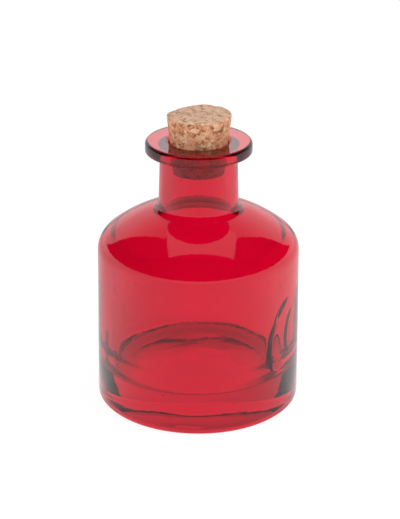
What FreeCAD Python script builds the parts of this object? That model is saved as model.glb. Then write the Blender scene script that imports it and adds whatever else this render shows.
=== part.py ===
"""Small apothecary bottle of pressed and blown glass with its tapered cork, as a parametric document.

The bottle is one solid of revolution: a heavy floor over a shallow push-up, a straight body with a trace
of taper, a spherical crown, a short neck and a flat flanged lip, its mouth fire-rounded into the bore.
The cork is pushed into that bore: the band that the glass grips is squeezed straight, and the cork swells
to its own taper above and below it.

Units are millimetres. +Z is up and is the axis of both pieces; the origin is the centre of the foot ring,
on the plane that the bottle stands on.
"""

import FreeCAD
import Part
import Sketcher
import math
import os
import re

SIZES = {
    # body of the bottle, outside
    "body_radius": 35.0,
    "foot_flare": 0.6,
    "body_height": 58.4,
    "crown_radius": 51.4,
    "heel_round": 2.0,
    "shoulder_round": 7.4,
    # neck and lip, outside
    "neck_wall": 3.45,
    "neck_flare": 0.55,
    "neck_length": 20.4,
    "neck_root_round": 1.5,
    "lip_overhang": 5.05,
    "lip_thick": 3.95,
    "lip_root_round": 0.8,
    "lip_under_round": 0.6,
    "rim_round": 1.25,
    # mouth and bore
    "mouth_round": 1.7,
    "bore_radius": 9.8,
    "bore_root_round": 2.2,
    # glass thickness inside
    "wall_thick": 3.9,
    "crown_thick": 3.8,
    "floor_thick": 12.2,
    "floor_round": 3.8,
    "inner_shoulder_round": 10.0,
    # push-up under the foot
    "push_up_radius": 28.5,
    "push_up_height": 1.6,
    "push_up_round": 8.0,
    # cork
    "seat_clearance": 0.05,
    "grip_length": 4.5,
    "cork_above": 9.0,
    "cork_length": 20.0,
    "cork_flare": 1.35,
    "cork_draft": 0.9,
    "cork_edge": 0.35,
}

# Heights and radii that follow from the sizes, each written once as an expression of the sheet.
FOOT_RADIUS = "(body_radius + foot_flare)"
NECK_TOP_RADIUS = "(bore_radius + neck_wall)"
NECK_ROOT_RADIUS = f"({NECK_TOP_RADIUS} + neck_flare)"
LIP_RADIUS = f"({NECK_TOP_RADIUS} + lip_overhang)"
CROWN_CENTRE = "(body_height - sqrt(crown_radius^2 - body_radius^2))"
NECK_ROOT = f"({CROWN_CENTRE} + sqrt(crown_radius^2 - {NECK_ROOT_RADIUS}^2))"
LIP_UNDER = f"({NECK_ROOT} + neck_length)"
GLASS_TOP = f"({LIP_UNDER} + lip_thick)"
INNER_RADIUS = "(body_radius - wall_thick)"
INNER_CROWN = "(crown_radius - crown_thick)"
INNER_SHOULDER = f"({CROWN_CENTRE} + sqrt({INNER_CROWN}^2 - {INNER_RADIUS}^2))"
BORE_ROOT = f"({CROWN_CENTRE} + sqrt({INNER_CROWN}^2 - bore_radius^2))"
BORE_TOP = f"({GLASS_TOP} - mouth_round)"
PUSH_UP_SPHERE = "((push_up_radius^2 + push_up_height^2) / (2 * push_up_height))"
CORK_GRIP = "(bore_radius - seat_clearance)"
CORK_TOP = f"({GLASS_TOP} + cork_above)"
CORK_FOOT = f"({CORK_TOP} - cork_length)"


def make_sheet(doc):
    """The spreadsheet Sizes: one row for each driving size, its value under an alias of the same name."""
    sheet = doc.addObject("Spreadsheet::Sheet", "Sizes")
    for row, (name, value) in enumerate(SIZES.items(), start=1):
        sheet.set(f"A{row}", name)
        sheet.set(f"B{row}", str(value))
        sheet.setAlias(f"B{row}", name)
    doc.recompute()
    return sheet


def bound(text):
    """The expression with every size's name pointed at its cell."""
    return re.sub(r"\b(" + "|".join(SIZES) + r")\b", r"Sizes.\1", text)


def worth(sheet, text):
    """The number that an expression gives now."""
    return float(sheet.evalExpression(bound(text)))


def make_body(doc, label):
    """An empty body whose Label names the piece's file."""
    body = doc.addObject("PartDesign::Body", label)
    body.Label = label
    body.Placement = FreeCAD.Placement()
    return body


def arc_between(start, end, radius):
    """The short arc from start to end, counter-clockwise, with this radius."""
    half = (end - start) * 0.5
    rise = math.sqrt(radius**2 - half.Length**2)
    across = FreeCAD.Vector(-half.y, half.x, 0).normalize()
    centre = start + half + across * rise
    first = math.atan2(start.y - centre.y, start.x - centre.x)
    last = math.atan2(end.y - centre.y, end.x - centre.x)
    return Part.ArcOfCircle(Part.Circle(centre, FreeCAD.Vector(0, 0, 1), radius), first, last)


def make_outline(sheet, body, name, corners, arcs=None):
    """A closed sketch on the body's XZ plane through (radius, height) corners, each an expression.

    arcs maps the number of a side to the expression of its radius; the other sides are straight.
    """
    arcs = arcs or {}
    sketch = body.newObject("Sketcher::SketchObject", name)
    plane = next(f for f in body.Origin.OriginFeatures if f.Role == "XZ_Plane")
    sketch.AttachmentSupport = (plane, "")
    sketch.MapMode = "FlatFace"
    points = [FreeCAD.Vector(worth(sheet, r), worth(sheet, z), 0) for r, z in corners]
    count = len(points)
    for side in range(count):
        start, end = points[side], points[(side + 1) % count]
        if side in arcs:
            sketch.addGeometry(arc_between(start, end, worth(sheet, arcs[side])))
        else:
            sketch.addGeometry(Part.LineSegment(start, end))
    for side in range(count):
        sketch.addConstraint(Sketcher.Constraint("Coincident", side, 2, (side + 1) % count, 1))
    for side, (radius, height) in enumerate(corners):
        pin(sketch, side, "DistanceX", -2, radius)
        pin(sketch, side, "DistanceY", -1, height)
    for side, radius in arcs.items():
        number = sketch.addConstraint(Sketcher.Constraint("Radius", side, worth(sheet, radius)))
        sketch.setExpression(f"Constraints[{number}]", bound(radius))
    return sketch


def pin(sketch, side, kind, axis, text):
    """Holds the start of a side at the expression's distance along one axis, or on the axis for 0."""
    if text == "0":
        sketch.addConstraint(Sketcher.Constraint("PointOnObject", side, 1, axis))
        return
    start = sketch.Geometry[side].StartPoint
    distance = start.x if kind == "DistanceX" else start.y
    number = sketch.addConstraint(Sketcher.Constraint(kind, -1, 1, side, 1, distance))
    sketch.setExpression(f"Constraints[{number}]", bound(text))


def turn(body, kind, name, sketch):
    """Revolves the sketch right round the body's axis, as material or as a cut."""
    feature = body.newObject(kind, name)
    feature.Profile = sketch
    feature.ReferenceAxis = (sketch, ["V_Axis"])
    feature.Angle = 360
    body.Document.recompute()
    return feature


def ring_edges(feature, radius, height):
    """Names of the feature's circular edges that lie round the axis at this radius and height."""
    names = []
    for number, edge in enumerate(feature.Shape.Edges, start=1):
        if edge.Degenerated or not isinstance(edge.Curve, Part.Circle):
            continue
        curve = edge.Curve
        if abs(curve.Radius - radius) < 0.01 and abs(curve.Center.z - height) < 0.01:
            names.append(f"Edge{number}")
    return names


def round_ring(sheet, body, name, radius, height, size, kind="PartDesign::Fillet"):
    """Rounds, or bevels, the ring edge at this radius and height by the named size."""
    base = body.Tip
    names = ring_edges(base, worth(sheet, radius), worth(sheet, height))
    if not names:
        raise ValueError(f"{name}: no ring edge where the sizes put it")
    feature = body.newObject(kind, name)
    feature.Base = (base, names)
    feature.setExpression("Radius" if kind.endswith("Fillet") else "Size", bound(size))
    body.Document.recompute()
    return feature


def make_bottle(doc, sheet):
    """The glass: outside, inside and push-up turned one after another, then the edges rounded."""
    body = make_body(doc, "bottle")
    outside = make_outline(sheet, body, "outside", [
        ("0", "0"),
        (FOOT_RADIUS, "0"),
        ("body_radius", "body_height"),
        (NECK_ROOT_RADIUS, NECK_ROOT),
        (NECK_TOP_RADIUS, LIP_UNDER),
        (LIP_RADIUS, LIP_UNDER),
        (LIP_RADIUS, GLASS_TOP),
        ("0", GLASS_TOP),
    ], {2: "crown_radius"})
    turn(body, "PartDesign::Revolution", "blank", outside)
    inside = make_outline(sheet, body, "inside", [
        ("0", "floor_thick"),
        (INNER_RADIUS, "floor_thick"),
        (INNER_RADIUS, INNER_SHOULDER),
        ("bore_radius", BORE_ROOT),
        ("bore_radius", GLASS_TOP),
        ("0", GLASS_TOP),
    ], {2: INNER_CROWN})
    turn(body, "PartDesign::Groove", "hollow", inside)
    push_up = make_outline(sheet, body, "push_up_section", [
        ("0", "0"),
        ("push_up_radius", "0"),
        ("0", "push_up_height"),
    ], {1: PUSH_UP_SPHERE})
    turn(body, "PartDesign::Groove", "push_up", push_up)

    round_ring(sheet, body, "shoulder", "body_radius", "body_height", "shoulder_round")
    round_ring(sheet, body, "heel", FOOT_RADIUS, "0", "heel_round")
    round_ring(sheet, body, "foot_inside", "push_up_radius", "0", "push_up_round")
    round_ring(sheet, body, "neck_root", NECK_ROOT_RADIUS, NECK_ROOT, "neck_root_round")
    round_ring(sheet, body, "lip_root", NECK_TOP_RADIUS, LIP_UNDER, "lip_root_round")
    round_ring(sheet, body, "lip_under", LIP_RADIUS, LIP_UNDER, "lip_under_round")
    round_ring(sheet, body, "rim", LIP_RADIUS, GLASS_TOP, "rim_round")
    round_ring(sheet, body, "mouth", "bore_radius", GLASS_TOP, "mouth_round")
    round_ring(sheet, body, "bore_root", "bore_radius", BORE_ROOT, "bore_root_round")
    round_ring(sheet, body, "inner_shoulder", INNER_RADIUS, INNER_SHOULDER, "inner_shoulder_round")
    round_ring(sheet, body, "floor_corner", INNER_RADIUS, "floor_thick", "floor_round")
    return body


def make_cork(doc, sheet):
    """The stopper: a tapered plug, squeezed straight over the band that the bore grips."""
    body = make_body(doc, "cork")
    section = make_outline(sheet, body, "plug_section", [
        ("0", CORK_FOOT),
        (f"{CORK_GRIP} - cork_draft", CORK_FOOT),
        (CORK_GRIP, f"{BORE_TOP} - grip_length"),
        (CORK_GRIP, BORE_TOP),
        (f"{CORK_GRIP} + cork_flare", CORK_TOP),
        ("0", CORK_TOP),
    ])
    turn(body, "PartDesign::Revolution", "plug", section)
    bevel = "PartDesign::Chamfer"
    round_ring(sheet, body, "top_edge", f"{CORK_GRIP} + cork_flare", CORK_TOP, "cork_edge", bevel)
    round_ring(sheet, body, "foot_edge", f"{CORK_GRIP} - cork_draft", CORK_FOOT, "cork_edge", bevel)
    return body


def check_and_write(doc, bodies):
    """Stops on any object that failed, then writes one file for each piece."""
    doc.recompute()
    failed = [o.Name for o in doc.Objects if {"Invalid", "Error"} & set(o.State)]
    if failed:
        raise RuntimeError(f"failed objects: {failed}")
    os.makedirs("parts", exist_ok=True)
    for body in bodies:
        if body.Shape.isNull() or not body.Shape.isValid() or len(body.Shape.Solids) != 1:
            raise RuntimeError(f"{body.Label} is not one valid solid")
        body.Shape.exportStep(f"parts/{body.Label}.step")


def main():
    doc = FreeCAD.newDocument("bottle")
    sheet = make_sheet(doc)
    bodies = [make_bottle(doc, sheet), make_cork(doc, sheet)]
    check_and_write(doc, bodies)


main()
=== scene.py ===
"""The looks of a small red apothecary bottle and its cork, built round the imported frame.

Everything is in metres, +Z up, with the origin at the centre of the foot ring. Azimuths run from +X to +Y.
"""

import math

import bpy
import numpy as np
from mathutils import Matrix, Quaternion, Vector


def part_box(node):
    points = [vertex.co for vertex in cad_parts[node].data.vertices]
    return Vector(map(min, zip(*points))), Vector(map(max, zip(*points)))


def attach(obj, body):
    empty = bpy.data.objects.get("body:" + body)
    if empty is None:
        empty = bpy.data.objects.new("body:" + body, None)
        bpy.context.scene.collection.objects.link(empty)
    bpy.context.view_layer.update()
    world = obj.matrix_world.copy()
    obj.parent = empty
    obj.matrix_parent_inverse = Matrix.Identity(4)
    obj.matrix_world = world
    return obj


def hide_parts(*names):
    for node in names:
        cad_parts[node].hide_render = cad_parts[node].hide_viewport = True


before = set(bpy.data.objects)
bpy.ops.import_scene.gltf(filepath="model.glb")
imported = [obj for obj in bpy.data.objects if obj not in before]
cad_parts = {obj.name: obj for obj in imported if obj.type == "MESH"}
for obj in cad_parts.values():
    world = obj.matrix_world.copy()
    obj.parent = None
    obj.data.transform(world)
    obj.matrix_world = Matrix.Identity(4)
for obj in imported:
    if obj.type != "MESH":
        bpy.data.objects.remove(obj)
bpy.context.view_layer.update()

# ------------------------------------------------------------------------------------------------------------
# Glass bottle
# Soda-lime glass blown in a mould, so true outside and uneven inside, with a heavy floor over a push-up and
# a flat lip rounded into the bore, which flares below the cork. A see-through red lacquer is sprayed over the
# whole outside and the mouth; the bore and the inside are bare.

mm = 0.001

bottle_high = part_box("bottle")[1]
foot_radius = bottle_high.x
glass_top = bottle_high.z
wall_radius = foot_radius - 0.6 * mm
wall_top = 58.4 * mm
crown_radius = 51.4 * mm
crown_centre = wall_top - math.sqrt(crown_radius**2 - wall_radius**2)
heel_round = 2.0 * mm
shoulder_round = 7.4 * mm
push_up_radius = 28.5 * mm
push_up_height = 1.6 * mm
push_up_sphere = (push_up_radius**2 + push_up_height**2) / (2 * push_up_height)
foot_inside_round = 8.0 * mm

bore_radius = 9.8 * mm
neck_root_radius = bore_radius + 4.0 * mm
neck_top_radius = bore_radius + 3.45 * mm
neck_root_round = 3.4 * mm
lip_radius = neck_top_radius + 5.05 * mm
lip_under = glass_top - 3.95 * mm
lip_root_round = 0.8 * mm
lip_under_round = 0.6 * mm
rim_round = 1.25 * mm
mouth_round = 1.7 * mm
lacquer_end = glass_top - mouth_round - 1 * mm

inner_radius = wall_radius - 3.9 * mm
inner_crown = crown_radius - 3.8 * mm
bore_flare_from = 81 * mm
bore_flare_round = 12 * mm
flared_bore = bore_radius + 1.3 * mm
bore_root_round = 5.8 * mm
inner_shoulder_round = 10.0 * mm
floor_height = 12.2 * mm
floor_round = 3.8 * mm

# unevenness of the outside: shallow waves on the body between two heights, and waves in the push-up
mould_wave = 0.04 * mm
mould_wave_length = 26 * mm
body_wave_foot = (3 * mm, 9 * mm)
body_wave_head = (58 * mm, 66 * mm)
push_up_wave = 0.05 * mm
push_up_wave_level = 1.2
push_up_wave_length = 17 * mm
push_up_wave_edge = (24 * mm, 30 * mm)

# unevenness of the inside: slow waves below the neck, and belts of thicker glass given as thickness, height
# of the middle and spread; the belts at the heel grow out of the floor and are thicker on the right
blown_wave = 0.06 * mm
blown_wave_length = 34 * mm
blown_head = (64 * mm, 72 * mm)
heel_belts = [(0.9 * mm, 19.5 * mm, 2.4 * mm), (1.2 * mm, 15 * mm, 2.6 * mm)]
heel_edge = (21 * mm, 28 * mm)
heel_share = 0.8
heel_wave_share = 0.25
heel_wave_length = 22 * mm
heel_lean = 0.3
shoulder_belt = (0.5 * mm, 53 * mm, 5 * mm)

# upright folds where the glass ran, each given as the azimuths of its foot and head and its sway in degrees,
# the heights of its foot and head in millimetres, its half width in degrees and its depth in millimetres
inner_folds = [
    (-29, -20, -14, 14, 44, 4.2, 0.60),
    (-20, -17, -5, 20, 38, 2.4, 0.30),
    (-33, -40, -3, 15, 27, 3.0, 0.25),
    (-151, -153, 1, 43, 54, 1.3, 0.20),
    (-155, -149, 4, 17, 36, 2.2, 0.10),
    (-160, -158, -4, 12, 30, 2.6, 0.12),
]
fold_wave_share = 0.35
fold_wave_length = 11 * mm

# air bubbles in the glass, each given as azimuth in degrees, and reach, height and radius in millimetres
seeds = [
    (-100, 33.2, 55.0, 0.22), (-128, 32.6, 52.6, 0.25), (-84, 33.4, 48.6, 0.22), (-42, 33.0, 58.0, 0.2),
    (-35, 33.2, 49.0, 0.3), (-32, 32.8, 46.5, 0.22), (-118, 12.0, 84.0, 0.25), (60, 33.0, 30.0, 0.25),
    (150, 33.1, 42.0, 0.22), (200, 33.0, 24.0, 0.25), (-60, 20.0, 6.0, 0.3), (110, 18.0, 5.0, 0.25),
]
seed_columns = 12
seed_rows = 8

# how finely the skins are drawn, and the distance below which two points are one
glass_columns = 192
glass_step = 0.85 * mm
glass_turn = math.radians(7)
coincident = 0.00001 * mm

# the lacquer lies thinner on the foot and thicker on the neck, so each throws light back in its own tint; it
# clouds a little from place to place, and its skin has a trace of orange peel
lacquer_red = (0.725, 0.0005, 0.024, 1)
wall_mirror = (0.86, 0.5, 0.75, 1)
neck_mirror = (0.56, 0.34, 0.48, 1)
foot_mirror = (0.90, 0.8, 0.88, 1)
neck_coat_from = 66 * mm
foot_coat_to = 1.7 * mm
bare_glass = (0.98, 0.99, 0.985, 1)
lamp_through_lacquer = (0.98, 0.03, 0.16, 1)
lamp_through_bare = (0.99, 0.995, 0.99, 1)
glass_index = 1.5
cloud_scale = 85.0
thick_cloud = 0.93
thin_cloud = 1.06
peel_scale = 520.0
peel_strength = 0.06
peel_height = 0.2 * mm


def height_on(radius, sphere):
    """Height of a sphere about the crown's centre at this radius: centre + sqrt(sphere^2 - radius^2)."""
    return crown_centre + math.sqrt(sphere**2 - radius**2)


def belt(rounds, step, most_turn):
    """Points of a line that runs like a belt round circles, each given as (radius, height, bend).

    A circle with a positive bend lies left of the belt and turns it left, a negative one lies right, and 0 is
    a sharp point. Between circles a and b the belt runs at the angle of the line from centre to centre, less
    asin((bend b - bend a) / distance). A point of an arc is centre + bend * (sin t, -cos t) for heading t.
    """
    rounds = np.array(rounds, float)
    centre, bend = rounds[:, :2], rounds[:, 2]
    apart = np.diff(centre, axis=0)
    reach = np.hypot(apart[:, 0], apart[:, 1])
    heading = np.arctan2(apart[:, 1], apart[:, 0]) - np.arcsin(np.clip(np.diff(bend) / reach, -1, 1))
    turn = (np.diff(heading) + np.pi) % (2 * np.pi) - np.pi
    parts = np.ceil(np.maximum(np.abs(turn) / most_turn, np.abs(bend[1:-1] * turn) / step)).astype(int) + 2
    place = np.arange(parts.sum()) - np.repeat(np.cumsum(parts) - parts, parts)
    angle = np.repeat(heading[:-1], parts) + np.repeat(turn, parts) * (place / np.repeat(parts - 1, parts))
    arcs = np.repeat(centre[1:-1], parts, axis=0)
    arcs = arcs + np.repeat(bend[1:-1], parts)[:, None] * np.stack([np.sin(angle), -np.cos(angle)], axis=1)
    corners = np.vstack([centre[:1], arcs, centre[-1:]])
    apart = np.diff(corners, axis=0)
    length = np.hypot(apart[:, 0], apart[:, 1])
    distinct = length > coincident
    corners, apart, length = corners[:-1][distinct], apart[distinct], length[distinct]
    parts = np.ceil(length / step).astype(int)
    place = np.arange(parts.sum()) - np.repeat(np.cumsum(parts) - parts, parts)
    share = (place / np.repeat(parts, parts))[:, None]
    line = np.repeat(corners, parts, axis=0) + np.repeat(apart, parts, axis=0) * share
    return np.vstack([line, centre[-1:]])


def turned(line, columns):
    """The (rows, columns, 3) grid of a section line turned round +Z: (r cos a, r sin a, z)."""
    angle = np.linspace(0, 2 * np.pi, columns, endpoint=False)
    radius = line[:, :1]
    height = np.broadcast_to(line[:, 1:], (len(line), columns))
    return np.stack([radius * np.cos(angle), radius * np.sin(angle), height], axis=2)


def skin_faces(rows, columns):
    """Quads and triangles of a grid that closes on itself across its columns and to a pole at each end.

    The point of row i and column j, for rows between the poles, has number 1 + (i - 1) * columns + j. A quad
    is (i, j), (i, j + 1), (i + 1, j + 1), (i + 1, j), which looks to the right of the section line.
    """
    beside = (np.arange(columns) + 1) % columns
    number = 1 + np.arange((rows - 2) * columns).reshape(rows - 2, columns)
    last = 1 + (rows - 2) * columns
    quads = np.stack([number[:-1], number[:-1, beside], number[1:, beside], number[1:]], axis=2)
    first_fan = np.stack([np.zeros(columns, int), number[0, beside], number[0]], axis=1)
    last_fan = np.stack([number[-1], number[-1, beside], np.full(columns, last)], axis=1)
    return first_fan, quads.reshape(-1, 4), last_fan


def skin_points(grid):
    """The grid's points in the order that skin_faces numbers them, each pole once."""
    return np.vstack([grid[:1, :1].reshape(1, 3), grid[1:-1].reshape(-1, 3), grid[-1:, :1].reshape(1, 3)])


def facing(grid):
    """Unit normals of a turned grid, on the side its faces look to: rows' step crossed with columns' step."""
    down = np.gradient(grid, axis=0)
    along = np.roll(grid, -1, axis=1) - np.roll(grid, 1, axis=1)
    normal = np.cross(along, down)
    length = np.linalg.norm(normal, axis=2, keepdims=True)
    return normal / np.maximum(length, 1e-12)


def from_axis(points):
    """Distance of each point from the bottle's axis: sqrt(x^2 + y^2)."""
    return np.hypot(points[..., 0], points[..., 1])


def eased(value, low, high):
    """0 below low, 1 above high, and 3 t^2 - 2 t^3 between them."""
    share = np.clip((value - low) / (high - low), 0, 1)
    return share * share * (3 - 2 * share)


def ripple(points, length, start):
    """A smooth field from about -1 to 1: seven plane waves sin(2 pi point . way / length + start), summed.

    Their ways spiral over the sphere, and each wave is a little longer or shorter than the next.
    """
    turn = np.arange(7)
    lift = (turn + 0.5) / 3.5 - 1
    level = np.sqrt(1 - lift**2)
    way = np.stack([level * np.cos(2.4 * turn + start), level * np.sin(2.4 * turn + start), lift], axis=1)
    way = way * (0.7 + 0.6 * ((turn * 0.618 + start) % 1))[:, None]
    return np.sin(points @ way.T * (2 * np.pi / length) + start * (turn + 1)).sum(axis=-1) / 3.0


def thicker(points, thickness, height, spread):
    """A level belt of thicker glass: thickness * exp(-((z - height) / spread)^2)."""
    return thickness * np.exp(-((points[..., 2] - height) / spread)**2)


def fold(points, foot, head, sway, low, high, width):
    """An upright ridge, exp(-(off / width)^2), with off in degrees from a bent line.

    The line's azimuth is foot + (head - foot) * t + sway * sin(pi t), with t from 0 at low to 1 at high. The
    ridge fades over the quarter of its height at either end.
    """
    share = (points[..., 2] - low) / (high - low)
    line = foot + (head - foot) * share + sway * np.sin(np.pi * share)
    off = (np.degrees(np.arctan2(points[..., 1], points[..., 0])) - line + 180) % 360 - 180
    return np.exp(-(off / width)**2) * eased(share, 0, 0.25) * (1 - eased(share, 0.75, 1))


def seed(azimuth, reach, lift, radius):
    """An air bubble: a small sphere turned inside out, centre + radius * direction."""
    tilt = np.linspace(np.pi / 2, -np.pi / 2, seed_rows)
    ball = np.stack([radius * np.cos(tilt), radius * np.sin(tilt)], axis=1)
    return turned(ball, seed_columns) + [reach * math.cos(azimuth), reach * math.sin(azimuth), lift]


foot_ring_radius = math.sqrt((push_up_sphere + foot_inside_round)**2
                             - (push_up_sphere - push_up_height + foot_inside_round)**2)
outside = belt([
    (0, push_up_height, 0),
    (0, push_up_height - push_up_sphere, -push_up_sphere),
    (foot_ring_radius, foot_inside_round, foot_inside_round),
    (foot_radius - heel_round, heel_round, heel_round),
    (wall_radius - shoulder_round, height_on(wall_radius - shoulder_round, crown_radius - shoulder_round),
     shoulder_round),
    (0, crown_centre, crown_radius),
    (neck_root_radius + neck_root_round,
     height_on(neck_root_radius + neck_root_round, crown_radius + neck_root_round), -neck_root_round),
    (neck_top_radius + lip_root_round, lip_under - lip_root_round, -lip_root_round),
    (lip_radius - lip_under_round, lip_under + lip_under_round, lip_under_round),
    (lip_radius - rim_round, glass_top - rim_round, rim_round),
    (bore_radius + mouth_round, glass_top - mouth_round, mouth_round),
    (bore_radius, lacquer_end, 0),
], glass_step, glass_turn)
inside = belt([
    (bore_radius, lacquer_end, 0),
    (bore_radius + bore_flare_round, bore_flare_from, bore_flare_round),
    (flared_bore + bore_root_round, height_on(flared_bore + bore_root_round, inner_crown + bore_root_round),
     bore_root_round),
    (0, crown_centre, -inner_crown),
    (inner_radius - inner_shoulder_round,
     height_on(inner_radius - inner_shoulder_round, inner_crown - inner_shoulder_round),
     -inner_shoulder_round),
    (inner_radius - floor_round, floor_height + floor_round, -floor_round),
    (0, floor_height, 0),
], glass_step, glass_turn)

outer_skin = turned(outside, glass_columns)
on_body = eased(outer_skin[..., 2], *body_wave_foot) * (1 - eased(outer_skin[..., 2], *body_wave_head))
sunk = mould_wave * on_body * (1 + ripple(outer_skin, mould_wave_length, start=2.0))
outer_skin = outer_skin - facing(outer_skin) * sunk[..., None]

# the waves in the push-up only lift it, so that nothing goes below the table
under_foot = outer_skin[..., 2] < 2 * push_up_height
in_push_up = under_foot * (1 - eased(from_axis(outer_skin), *push_up_wave_edge))
lifted = np.maximum(push_up_wave_level + ripple(outer_skin, push_up_wave_length, start=0.7), 0)
outer_skin[..., 2] += push_up_wave * in_push_up * lifted

inner_skin = turned(inside, glass_columns)
heel = sum(thicker(inner_skin, *values) for values in heel_belts)
heel = heel * eased(from_axis(inner_skin), *heel_edge)
heel_waves = heel_wave_share * ripple(inner_skin, heel_wave_length, start=2.2)
heel = heel * (heel_share + heel_waves + heel_lean * inner_skin[..., 0] / inner_radius)
extra = heel + thicker(inner_skin, *shoulder_belt)
extra = extra + blown_wave * ripple(inner_skin, blown_wave_length, start=2.7)
for foot_azimuth, head_azimuth, sway, low, high, width, depth in inner_folds:
    ridge = fold(inner_skin, foot_azimuth, head_azimuth, sway, low * mm, high * mm, width)
    ridge = ridge * (1 + fold_wave_share * ripple(inner_skin, fold_wave_length, start=width))
    extra = extra + depth * mm * ridge
extra = extra * (1 - eased(inner_skin[..., 2], *blown_head))
inner_skin = inner_skin + facing(inner_skin) * extra[..., None]

# coats by number: 0 lacquer on the body, 1 bare glass, 2 lacquer on the neck, 3 lacquer under the foot
glass = np.concatenate([outer_skin[:-1], inner_skin])
first_fan, quads, last_fan = skin_faces(len(glass), glass_columns)
points = [skin_points(glass)]
quad_height = points[0][quads[:, 0], 2]
bare = quads[:, 0] >= 1 + (len(outside) - 3) * glass_columns
coat = np.select([bare, quad_height > neck_coat_from, quad_height < foot_coat_to], [1, 2, 3], 0)
faces = first_fan.tolist() + quads.tolist() + last_fan.tolist()
coats = [np.full(len(first_fan), 3), coat, np.ones(len(last_fan))]
for azimuth, reach, lift, radius in seeds:
    ball = seed(math.radians(azimuth), reach * mm, lift * mm, radius * mm)
    shift = sum(len(part) for part in points)
    ball_faces = [part for fan in skin_faces(seed_rows, seed_columns) for part in fan.tolist()]
    faces += [[shift + corner for corner in face] for face in ball_faces]
    points.append(skin_points(ball))
    coats.append(np.ones(len(ball_faces)))

mesh = bpy.data.meshes.new("bottle_glass")
mesh.from_pydata(np.vstack(points).tolist(), [], faces)
mesh.polygons.foreach_set("material_index", np.concatenate(coats).astype(np.int32))
mesh.polygons.foreach_set("use_smooth", np.ones(len(faces), bool))
mesh.update()
bottle_glass = bpy.data.objects.new("bottle_glass", mesh)
bpy.context.scene.collection.objects.link(bottle_glass)


class Wire:
    """One socket of a node tree. Arithmetic on it adds Math nodes, and node() adds any other kind of node."""

    def __init__(self, tree, socket):
        self.tree = tree
        self.socket = socket

    def node(self, kind, settings=None, sockets=None, output=0):
        """Adds a node, its settings first, then its sockets' values or links. Gives one of its outputs."""
        made = self.tree.nodes.new(kind)
        for name, value in (settings or {}).items():
            if name == "stops":
                ramp = made.color_ramp.elements
                ramp[0].position, ramp[0].color = value[0]
                ramp[1].position, ramp[1].color = value[-1]
                for stop, colour in value[1:-1]:
                    ramp.new(stop).color = colour
            else:
                setattr(made, name, value)
        for name, value in (sockets or {}).items():
            if isinstance(value, Wire):
                self.tree.links.new(value.socket, made.inputs[name])
            else:
                made.inputs[name].default_value = value
        return Wire(self.tree, made.outputs[output] if len(made.outputs) else None)

    def beside(self, output):
        """Another output of the node that this socket belongs to."""
        return Wire(self.tree, self.socket.node.outputs[output])

    def maths(self, operation, first, second):
        """Adds a Math node on two values or wires."""
        return self.node("ShaderNodeMath", {"operation": operation}, {0: first, 1: second})

    def __add__(self, other):
        return self.maths("ADD", self, other)

    def __radd__(self, other):
        return self.maths("ADD", other, self)

    def __sub__(self, other):
        return self.maths("SUBTRACT", self, other)

    def __rsub__(self, other):
        return self.maths("SUBTRACT", other, self)

    def __mul__(self, other):
        return self.maths("MULTIPLY", self, other)

    def __rmul__(self, other):
        return self.maths("MULTIPLY", other, self)

    def __truediv__(self, other):
        return self.maths("DIVIDE", self, other)

    def __rtruediv__(self, other):
        return self.maths("DIVIDE", other, self)

    def __gt__(self, other):
        return self.maths("GREATER_THAN", self, other)

    def __lt__(self, other):
        return self.maths("LESS_THAN", self, other)


def new_tree(owner):
    """Empties the owner's node tree and gives a wire with no socket to build from."""
    owner.use_nodes = True
    owner.node_tree.nodes.clear()
    return Wire(owner.node_tree, None)


def scaled(colour, share):
    """The colour with each part multiplied by the share, and none above 1."""
    return tuple(min(share * part, 1.0) for part in colour[:3]) + (1,)


def glass_material(name, tint, lamp_tint, inner_mirror=None):
    """Smooth glass that bends light at its surface and tints it once by the root of the colour.

    Light that a coated surface throws back into the glass crosses the coat twice, which inner_mirror tints.
    Rays from lamps go straight through with the lamp tint, so the cork in the neck and the floor are lit.
    """
    material = bpy.data.materials.new(name)
    start = new_tree(material)
    once = tuple(math.sqrt(part) for part in tint[:3]) + (1,)
    thick = scaled(tint, thick_cloud)
    thin = scaled(tint, thin_cloud)
    place = start.node("ShaderNodeTexCoord", output="Object")
    cloud = start.node("ShaderNodeTexNoise", None, {"Vector": place, "Scale": cloud_scale, "Detail": 3.0})
    peel = start.node("ShaderNodeTexNoise", None, {"Vector": place, "Scale": peel_scale, "Detail": 2.0})
    coat = start.node("ShaderNodeMix", {"data_type": "RGBA"}, {0: cloud, 6: thick, 7: thin}, output=2)
    skin = start.node("ShaderNodeBump", None, {
        "Strength": peel_strength, "Distance": peel_height, "Height": peel,
    })
    body = start.node("ShaderNodeBsdfPrincipled", None, {
        "Base Color": coat, "Roughness": 0.0, "IOR": glass_index, "Transmission Weight": 1.0, "Normal": skin,
    })
    if inner_mirror:
        bent = start.node("ShaderNodeBsdfRefraction", None, {
            "Color": once, "Roughness": 0.0, "IOR": glass_index, "Normal": skin,
        })
        thrown_back = start.node("ShaderNodeBsdfAnisotropic", None, {
            "Color": inner_mirror, "Roughness": 0.0, "Normal": skin,
        })
        share = start.node("ShaderNodeFresnel", None, {"IOR": glass_index, "Normal": skin})
        from_inside = start.node("ShaderNodeMixShader", None, {0: share, 1: bent, 2: thrown_back})
        within_glass = start.node("ShaderNodeNewGeometry", output="Backfacing")
        body = start.node("ShaderNodeMixShader", None, {0: within_glass, 1: body, 2: from_inside})
    through = start.node("ShaderNodeBsdfTransparent", None, {"Color": lamp_tint})
    lamp_ray = start.node("ShaderNodeLightPath", output="Is Shadow Ray")
    mixed = start.node("ShaderNodeMixShader", None, {0: lamp_ray, 1: body, 2: through})
    start.node("ShaderNodeOutputMaterial", None, {"Surface": mixed})
    return material


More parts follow.
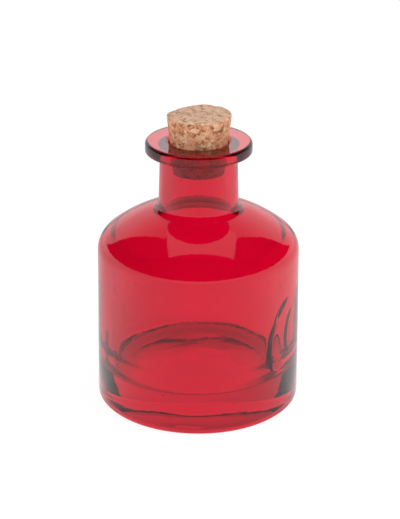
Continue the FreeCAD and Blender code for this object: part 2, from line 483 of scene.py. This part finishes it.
mesh.materials.append(glass_material("red_lacquer_on_glass", lacquer_red, lamp_through_lacquer, wall_mirror))
mesh.materials.append(glass_material("bare_glass", bare_glass, lamp_through_bare))
mesh.materials.append(glass_material("red_lacquer_on_neck", lacquer_red, lamp_through_lacquer, neck_mirror))
mesh.materials.append(glass_material("red_lacquer_on_foot", lacquer_red, lamp_through_lacquer, foot_mirror))
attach(bottle_glass, "root")
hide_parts("bottle")

# ------------------------------------------------------------------------------------------------------------
# Cork
# Agglomerated cork: granules of one to three millimetres pressed together with a little glue, cut to a taper
# and sanded, and pushed into the bore. It has open pits between granules, a paler cut top and a worn edge.

cork_low, cork_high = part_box("cork")
cork_top_radius = cork_high.x
cork_edge = 0.35 * mm
grip_radius = bore_radius - 0.05 * mm
grip_top = glass_top - mouth_round
grip_foot = grip_top - 4.5 * mm
cork_foot_radius = grip_radius - 0.9 * mm
cork_columns = 336
cork_step = 0.21 * mm
cork_turn = math.radians(15)

# granules and the flecks among them: sizes, how far they are bent out of line, and how they are pressed flat
granule_size = 1.9 * mm
fleck_size = 0.8 * mm
granule_bend = 0.35 * mm
granule_bend_length = 2.6 * mm
press_way = np.array([0.55, -0.35, 0.76])
press_share = 0.5

# joints lie where the two nearest centres are about as far, and some are open; a few flecks have fallen out
# and left pits; an edge is given as the shares of the size between which it fades
joint_edge = (0.02, 0.16)
fleck_joint_edge = (0.02, 0.14)
open_joint_length = 3.4 * mm
open_joint_edge = (-0.05, 0.55)
fallen_flecks = (0.91, 0.94)
pit_edge = (0.30, 0.62)

# the sander's dust fills the pits and joints of the top in part
sanded_from = cork_high.z - 0.25 * mm
sanded_full = cork_high.z - 0.08 * mm
pit_filled = 0.55
all_filled = 0.6

# how deep the surface is sunk: each granule by its own share, then joints, pits and the worn rim
granule_depth = 0.05 * mm
joint_depth = 0.13 * mm
fleck_joint_depth = 0.03 * mm
pit_depth = 0.42 * mm
worn_depth = 0.04 * mm
worn_wave = 0.08 * mm
worn_wave_length = 5 * mm
worn_reach = 1.0 * mm

# the top is sawn out of true: it falls to the left, and lower still at the back left and in one small chip,
# each given as azimuth, half width, depth, and the radii between which it comes in
top_lift = 0.3 * mm
top_shift = 0.15 * mm
saw_slope = 0.012
saw_dips = [
    (math.radians(137), math.radians(38), 0.7 * mm, 5 * mm, 11 * mm),
    (math.radians(60), math.radians(5), 0.22 * mm, 9 * mm, 10.5 * mm),
]

cork_bright = (0.70, 0.43, 0.27, 1)
cork_pale = (0.62, 0.33, 0.19, 1)
cork_warm = (0.52, 0.215, 0.11, 1)
cork_rust = (0.36, 0.13, 0.062, 1)
# the colour of the open joints and pits: partly their own darker cork and glue, partly painted shade of the
# hollows
hollow_dark_and_shade = (0.13, 0.042, 0.022, 1)
cut_bright = (0.56, 0.38, 0.265, 1)
cut_mid = (0.46, 0.28, 0.185, 1)
cut_dark = (0.35, 0.19, 0.11, 1)
grain_scale = 2600.0
stain_scale = 420.0


def scattered(cells, salt):
    """A number from 0 to 1 for each lattice cell: the fraction of 43758.5453 sin(cell . way + salt)."""
    mixed = np.sin(cells @ np.array([127.1, 311.7, 74.7]) + salt) * 43758.5453
    return mixed - np.floor(mixed)


def granules(points, size, salt):
    """Distances to the two nearest centres, as shares of the size, and the nearest's number from 0 to 1.

    Each cube of a lattice holds one centre, anywhere in it, and the 27 cubes round a point are searched.
    """
    spot = points / size
    cell = np.floor(spot)
    first = np.full(spot.shape[:-1], np.inf)
    second = first.copy()
    name = np.zeros(first.shape)
    for step in np.ndindex(3, 3, 3):
        near = cell + np.array(step) - 1
        centre = near + np.stack([scattered(near, salt + offset) for offset in (1.3, 2.6, 3.9)], axis=-1)
        apart = np.linalg.norm(spot - centre, axis=-1)
        second = np.where(apart < first, first, np.minimum(second, apart))
        name = np.where(apart < first, scattered(near, salt + 5.2), name)
        first = np.minimum(first, apart)
    return first, second, name


def about(azimuth, middle, width):
    """A share that is 1 at the middle azimuth: exp(-(turn from the middle / width)^2)."""
    return np.exp(-(np.angle(np.exp(1j * (azimuth - middle))) / width)**2)


cork_line = belt([
    (0, cork_low.z, 0),
    (cork_foot_radius - cork_edge, cork_low.z + cork_edge, cork_edge),
    (grip_radius, grip_foot, 0),
    (grip_radius, grip_top, 0),
    (cork_top_radius - cork_edge, cork_high.z - cork_edge, cork_edge),
    (0, cork_high.z, 0),
], cork_step, cork_turn)
plug = turned(cork_line, cork_columns)
azimuth = np.arctan2(plug[..., 1], plug[..., 0])
reach = from_axis(plug)

bends = [ripple(plug, granule_bend_length, start) for start in (0.4, 1.7, 3.1)]
bent = plug + granule_bend * np.stack(bends, axis=-1)
pressed = bent + (bent @ press_way)[..., None] * press_way * press_share
nearest, second_nearest, granule = granules(pressed, granule_size, salt=11.0)
fleck_nearest, fleck_second, fleck = granules(bent, fleck_size, salt=4.0)
cut = eased(plug[..., 2], sanded_from, sanded_full)
joint = 1 - eased(second_nearest - nearest, *joint_edge)
open_joint = joint * eased(ripple(plug, open_joint_length, start=0.9), *open_joint_edge)
fleck_joint = 1 - eased(fleck_second - fleck_nearest, *fleck_joint_edge)
pit = eased(fleck, *fallen_flecks) * (1 - eased(fleck_nearest, *pit_edge)) * (1 - pit_filled * cut)

rim = np.exp(-((cork_top_radius - reach)**2 + (cork_high.z - plug[..., 2])**2) / worn_reach**2)
worn = worn_depth + worn_wave * (1 + ripple(plug, worn_wave_length, start=6.0))
sawn = saw_slope * (cork_top_radius - plug[..., 0])
for middle, width, depth, low, high in saw_dips:
    sawn = sawn + depth * about(azimuth, middle, width) * eased(reach, low, high)
upper = eased(plug[..., 2], glass_top + 1 * mm, cork_high.z)

sunk = granule_depth * (1 - granule) + joint_depth * open_joint
sunk = sunk + fleck_joint_depth * fleck_joint + pit_depth * pit
sunk = sunk * (1 - all_filled * cut) + rim * worn
plug = plug - facing(plug) * sunk[..., None]
plug[..., 2] += (top_lift - sawn) * upper
plug[..., 0] += top_shift * upper

faces = [part for fan in skin_faces(len(plug), cork_columns) for part in fan.tolist()]
cork_mesh = bpy.data.meshes.new("cork_plug")
cork_mesh.from_pydata(skin_points(plug).tolist(), [], faces)
cork_mesh.polygons.foreach_set("use_smooth", np.ones(len(faces), bool))
hollow = np.clip(open_joint + 1.2 * pit, 0, 1)
for name, values in (("granule", granule), ("fleck", fleck), ("hollow", hollow), ("cut", cut)):
    layer = cork_mesh.attributes.new(name, "FLOAT", "POINT")
    layer.data.foreach_set("value", skin_points(values[..., None] * np.ones(3))[:, 0].astype(np.float32))
cork_mesh.update()
cork_plug = bpy.data.objects.new("cork_plug", cork_mesh)
bpy.context.scene.collection.objects.link(cork_plug)

cork_material = bpy.data.materials.new("pressed_cork")
start = new_tree(cork_material)
by_granule, by_fleck, in_hollow, on_cut = (
    start.node("ShaderNodeAttribute", {"attribute_name": name}, output="Fac")
    for name in ("granule", "fleck", "hollow", "cut")
)
place = start.node("ShaderNodeTexCoord", output="Object")
grain = start.node("ShaderNodeTexNoise", None, {
    "Vector": place, "Scale": grain_scale, "Detail": 4.0, "Roughness": 0.65,
})
cloud = start.node("ShaderNodeTexNoise", None, {
    "Vector": place, "Scale": stain_scale, "Detail": 3.0, "Roughness": 0.6,
})
tone = by_granule * 0.45 + by_fleck * 0.35 + grain * 0.35 + cloud * 0.3
bulk = start.node("ShaderNodeValToRGB", {"stops": [
    (0.25, cork_rust), (0.5, cork_warm), (0.8, cork_pale), (1.0, cork_bright),
]}, {0: tone - 0.05})
sanded = start.node("ShaderNodeValToRGB", {"stops": [
    (0.3, cut_dark), (0.55, cut_mid), (1.0, cut_bright),
]}, {0: tone})
solid = start.node("ShaderNodeMix", {"data_type": "RGBA"}, {0: on_cut, 6: bulk, 7: sanded}, output=2)
# painted shade: the open joints and pits are darkened towards that colour, over their own darker cork and
# glue
hollow_dark_and_shade_share = in_hollow * 0.85
colour = start.node("ShaderNodeMix", {"data_type": "RGBA"}, {0: hollow_dark_and_shade_share, 6: solid, 7: hollow_dark_and_shade}, output=2)
roughened = grain + cloud * 0.6
bump = start.node("ShaderNodeBump", None, {"Strength": 0.5, "Distance": 0.2 * mm, "Height": roughened})
body = start.node("ShaderNodeBsdfPrincipled", None, {
    "Base Color": colour, "Roughness": 0.86, "Specular IOR Level": 0.25, "Normal": bump,
})
start.node("ShaderNodeOutputMaterial", None, {"Surface": body})
cork_mesh.materials.append(cork_material)
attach(cork_plug, "root")
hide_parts("cork")

# ------------------------------------------------------------------------------------------------------------
# Floor
# A plain white table that keeps a faint shadow of the bottle and is no part of it. What the glass mirrors of
# it changes with the azimuth, and it is shaded to the left, in front and close round the foot.

table_half = 4.0
table_drop = 0.05 * mm
table_corners = ((-1, -1), (1, -1), (1, 1), (-1, 1))
table_white = 0.8
table_own_glow = 0.85
camera_glow = 0.06

# brightness in mirrored light from front to back, as stops from 0 at the front to 1 at the back
mirrored_ring = [(0.0, 0.36), (0.25, 0.50), (0.47, 0.62), (0.735, 0.43), (1.0, 0.32)]
mirrored_gain = 2.0

# each shade is given as the place where it is full, the place where it ends, and how dark it is; places to
# the left and in front are on the unit circle, and those round the foot are distances from the axis
left_shade = (-0.6, -0.03, 0.28)
front_shade = (-0.5, -0.2, 0.45)
foot_shade = (31 * mm, 22 * mm, 0.5)
foot_shade_end = 36 * mm
open_table_from = 45 * mm


def darker(value, full, end, most):
    """The shade at a value: most at full and beyond it, falling to 0 at end."""
    return value.node("ShaderNodeMapRange", None, {0: value, 1: full, 2: end, 3: most, 4: 0.0})


corners = [(x * table_half, y * table_half, -table_drop) for x, y in table_corners]
floor_mesh = bpy.data.meshes.new("floor")
floor_mesh.from_pydata(corners, [], [(0, 1, 2, 3)])
floor = bpy.data.objects.new("floor", floor_mesh)
bpy.context.scene.collection.objects.link(floor)
floor_material = bpy.data.materials.new("white_table")
start = new_tree(floor_material)
to_camera = start.node("ShaderNodeLightPath", output="Is Camera Ray")
glossy = to_camera.beside("Is Glossy Ray")
passing = to_camera.beside("Is Transmission Ray")
seen = start.maths("MINIMUM", to_camera + glossy + passing, 1.0)
mirror_only = glossy * (1.0 - passing)
place = start.node("ShaderNodeTexCoord", output="Object")
outward = start.node("ShaderNodeVectorMath", {"operation": "NORMALIZE"}, {0: place})
to_right = start.node("ShaderNodeSeparateXYZ", None, {0: outward})
towards_back = to_right.beside("Y")
from_centre = start.node("ShaderNodeVectorMath", {"operation": "LENGTH"}, {0: place}, output="Value")
round_about = start.node("ShaderNodeValToRGB", {
    "stops": [(stop, (level, level, level, 1)) for stop, level in mirrored_ring],
}, {0: towards_back * 0.5 + 0.5})
wide_shade = darker(to_right, *left_shade) + darker(towards_back, *front_shade)
close_shade = darker(from_centre, *foot_shade)
shade = wide_shade * (from_centre > open_table_from) + close_shade * (from_centre < foot_shade_end)
mirrored_part = mirror_only * (mirrored_gain * round_about)
table_glow = mirrored_part + (1.0 - mirror_only) * (1.0 - passing * shade) + camera_glow * to_camera
matte = start.node("ShaderNodeBsdfDiffuse", None, {"Color": (table_white, table_white, table_white, 1)})
own_light = start.node("ShaderNodeEmission", None, {"Color": (1, 1, 1, 1), "Strength": table_glow})
mixed = start.node("ShaderNodeMixShader", None, {0: seen * table_own_glow, 1: matte, 2: own_light})
start.node("ShaderNodeOutputMaterial", None, {"Surface": mixed})
floor_mesh.materials.append(floor_material)

# ------------------------------------------------------------------------------------------------------------
# Studio
# White below and behind, a tall sheet at the back and one soft box overhead, with dark between them: that is
# what the glass mirrors and bends. Three soft lamps light only the cork and the table.

# heights are sines of the angle above the horizon, and half widths are shares of the distance ahead
table_edge = math.sin(math.radians(13))
sheet_top = math.sin(math.radians(60))
sheet_half = 0.9
sheet_fade = (0.45, 0.85)
sheet_low_light = 0.87
sheet_high_light = 0.45

# a brighter patch low on the sheet, which only mirrors show
patch_half = 0.2
patch_low = math.sin(math.radians(16))
patch_high = math.sin(math.radians(31))
patch_light = 0.8

# the soft box, in shares of its height
box_across = (-0.35, 0.43)
box_along = (0.03, 0.62)
box_light = 0.82
dark_light = 0.01
ambient_light = 0.55


def below_edge(value, edge, soft):
    """1 below the edge and 0 above it, over a soft border on both sides of it."""
    return value.node("ShaderNodeMapRange", None, {0: value, 1: edge - soft, 2: edge + soft, 3: 1.0, 4: 0.0})


def within(value, low, high, soft):
    """1 where the value lies between low and high, falling to 0 over a soft border."""
    rise = value.node("ShaderNodeMapRange", None, {0: value, 1: low - soft, 2: low + soft, 3: 0.0, 4: 1.0})
    return rise * below_edge(value, high, soft)


world = bpy.data.worlds.new("studio")
bpy.context.scene.world = world
start = new_tree(world)
to_camera = start.node("ShaderNodeLightPath", output="Is Camera Ray")
glossy = to_camera.beside("Is Glossy Ray")
passing = to_camera.beside("Is Transmission Ray")
direction = start.node("ShaderNodeTexCoord", output="Generated")
across = start.node("ShaderNodeSeparateXYZ", None, {0: direction})
along = across.beside("Y")
up = across.beside("Z")
ahead = start.maths("MAXIMUM", along, 0.001)
above = start.maths("MAXIMUM", up, 0.001)
side = start.maths("ABSOLUTE", across, 0.0) / ahead

table = below_edge(up, table_edge, 0.01)
sheet = below_edge(side, sheet_half, 0.02) * (along > 0.0) * below_edge(up, sheet_top, 0.01)
sheet_light = start.node("ShaderNodeMapRange", None, {
    0: up, 1: sheet_fade[0], 2: sheet_fade[1], 3: sheet_low_light, 4: sheet_high_light,
})
patch = below_edge(side, patch_half, 0.08) * within(up, patch_low, patch_high, 0.03)
patch = patch * glossy * (1.0 - passing)
box = within(across / above, *box_across, 0.01) * within(along / above, *box_along, 0.01) * (up > 0.0)
studio = start.maths("MAXIMUM", table, sheet * (sheet_light + patch_light * patch))
studio = start.maths("MAXIMUM", studio, box * box_light) + dark_light
studio = studio * (1.0 - passing * darker(across, *left_shade))
mirrored = start.maths("MINIMUM", glossy + passing, 1.0) * (1.0 - to_camera)
strength = mirrored * studio + to_camera + (1.0 - mirrored) * (1.0 - to_camera) * ambient_light
background = start.node("ShaderNodeBackground", None, {"Color": (1, 1, 1, 1), "Strength": strength})
start.node("ShaderNodeOutputWorld", None, {"Surface": background})


def soft_lamp(name, place, target, size, power):
    """A square area lamp at place, turned to target, that only diffuse surfaces see."""
    data = bpy.data.lights.new(name, "AREA")
    data.shape = "SQUARE"
    data.size = size
    data.energy = power
    lamp = bpy.data.objects.new(name, data)
    lamp.location = place
    lamp.rotation_mode = "QUATERNION"
    lamp.rotation_quaternion = (Vector(target) - Vector(place)).to_track_quat("-Z", "Y")
    lamp.visible_camera = False
    lamp.visible_glossy = False
    lamp.visible_transmission = False
    bpy.context.scene.collection.objects.link(lamp)


soft_lamp("overhead", (0.1, 0.15, 0.9), (0, 0, 0.06), 0.6, 3.0)
soft_lamp("front_left", (-0.85, -0.55, 0.5), (0, 0, 0.08), 0.5, 6.5)
soft_lamp("front_right", (0.9, -0.5, 0.5), (0, 0, 0.08), 0.5, 7.5)

scene = bpy.context.scene
scene.view_settings.view_transform = "Standard"
scene.cycles.max_bounces = 32
scene.cycles.transmission_bounces = 32
scene.cycles.glossy_bounces = 12
scene.cycles.transparent_max_bounces = 24
scene.cycles.caustics_refractive = False
scene.cycles.caustics_reflective = False

# ------------------------------------------------------------------------------------------------------------
# Camera
# A long lens looks down on the bottle from the front, six hundred millimetres off, and leans by a trace.

aim = Vector((0.6 * mm, 0, 50.34 * mm))
camera_distance = 600 * mm
camera_elevation = math.radians(23.35)
camera_roll = math.radians(0.28)
back = Vector((0, -math.cos(camera_elevation), math.sin(camera_elevation)))
camera_data = bpy.data.cameras.new("camera")
camera_data.lens = 119.16
camera_data.sensor_width = 36
camera = bpy.data.objects.new("camera", camera_data)
camera.location = aim + back * camera_distance
camera.rotation_mode = "QUATERNION"
camera.rotation_quaternion = (-back).to_track_quat("-Z", "Y") @ Quaternion((0, 0, 1), camera_roll)
scene.collection.objects.link(camera)
scene.camera = camera
